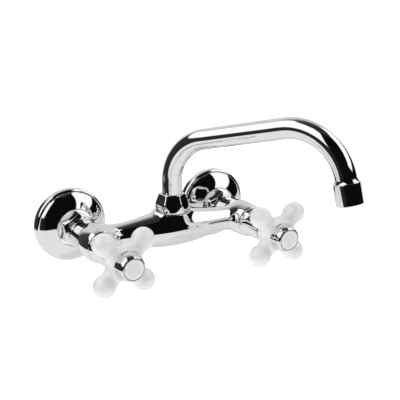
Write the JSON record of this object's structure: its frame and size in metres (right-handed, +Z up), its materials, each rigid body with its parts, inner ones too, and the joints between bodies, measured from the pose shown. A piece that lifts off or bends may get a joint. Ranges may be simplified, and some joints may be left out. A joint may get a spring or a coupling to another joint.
{
  "type": "two handle kitchen faucet",
  "caption": "Wall-mounted two handle kitchen faucet with a spindle-shaped bridge, cross handles and a swivelling tube spout.",
  "frame": {"origin": "on the wall face, midway between the axes of the two wall inlets", "axes": "+X along the wall to the right as seen by the user (towards cold), +Y into the wall (the tap stands out towards -Y), +Z up"},
  "size_m": [0.218, 0.2396, 0.1503],
  "materials": {
    "chrome": "bright mirror chrome plate on brass",
    "raw_brass": "machined, unplated",
    "steel": "plain stainless steel",
    "black_rubber": "moulded, matt",
    "white_porcelain": "white glazed porcelain, opaque and glossy",
    "valve_ceramic": "lapped alumina ceramic, opaque",
    "white_enamel": "plain white, glossy",
    "white_acetal": "moulded plastic"
  },
  "bodies": {
    "faucet": {"tap_body": "chrome", "spout_nut": "chrome", "spout_slip_ring": "white_acetal", "hot_wall_union": "chrome", "hot_escutcheon": "chrome", "hot_union_washer": "black_rubber", "hot_union_nut": "chrome", "hot_inlet_nipple": "chrome", "hot_headwork_body": "raw_brass", "hot_headwork_gasket": "black_rubber", "hot_seat_seal": "black_rubber", "hot_fixed_disc": "valve_ceramic", "hot_bonnet_sleeve": "chrome", "cold_wall_union": "chrome", "cold_escutcheon": "chrome", "cold_union_washer": "black_rubber", "cold_union_nut": "chrome", "cold_inlet_nipple": "chrome", "cold_headwork_body": "raw_brass", "cold_headwork_gasket": "black_rubber", "cold_seat_seal": "black_rubber", "cold_fixed_disc": "valve_ceramic", "cold_bonnet_sleeve": "chrome"},
    "hot_handle": {"hot_moving_disc": "valve_ceramic", "hot_spindle": "raw_brass", "hot_spindle_seal_inner": "black_rubber", "hot_spindle_seal_outer": "black_rubber", "hot_circlip": "steel", "hot_handle": "white_porcelain", "hot_splined_insert": "raw_brass", "hot_handle_screw": "steel", "hot_handle_cap": "chrome", "hot_index_disc": "white_enamel"},
    "cold_handle": {"cold_moving_disc": "valve_ceramic", "cold_spindle": "raw_brass", "cold_spindle_seal_inner": "black_rubber", "cold_spindle_seal_outer": "black_rubber", "cold_circlip": "steel", "cold_handle": "white_porcelain", "cold_splined_insert": "raw_brass", "cold_handle_screw": "steel", "cold_handle_cap": "chrome", "cold_index_disc": "white_enamel"},
    "spout": {"spout_ferrule": "raw_brass", "spout_seal_lower": "black_rubber", "spout_seal_upper": "black_rubber", "spout_tube": "chrome", "nozzle_collar": "chrome", "aerator_housing": "chrome", "aerator_washer": "black_rubber", "aerator_insert": "white_acetal"}
  },
  "joints": [
    {"name": "hot_handle_turn", "type": "hinge", "parent": "faucet", "child": "hot_handle", "pos_m": [-0.075, -0.118, 0.008], "axis": [0, -1, 0], "range_deg": [0, 90]},
    {"name": "cold_handle_turn", "type": "hinge", "parent": "faucet", "child": "cold_handle", "pos_m": [0.075, -0.118, 0.008], "axis": [0, 1, 0], "range_deg": [0, 90]},
    {"name": "spout_swivel", "type": "hinge", "parent": "faucet", "child": "spout", "pos_m": [0, -0.0615, 0.032], "axis": [0, 0, 1], "range_deg": [-127, 73]}
  ]
}
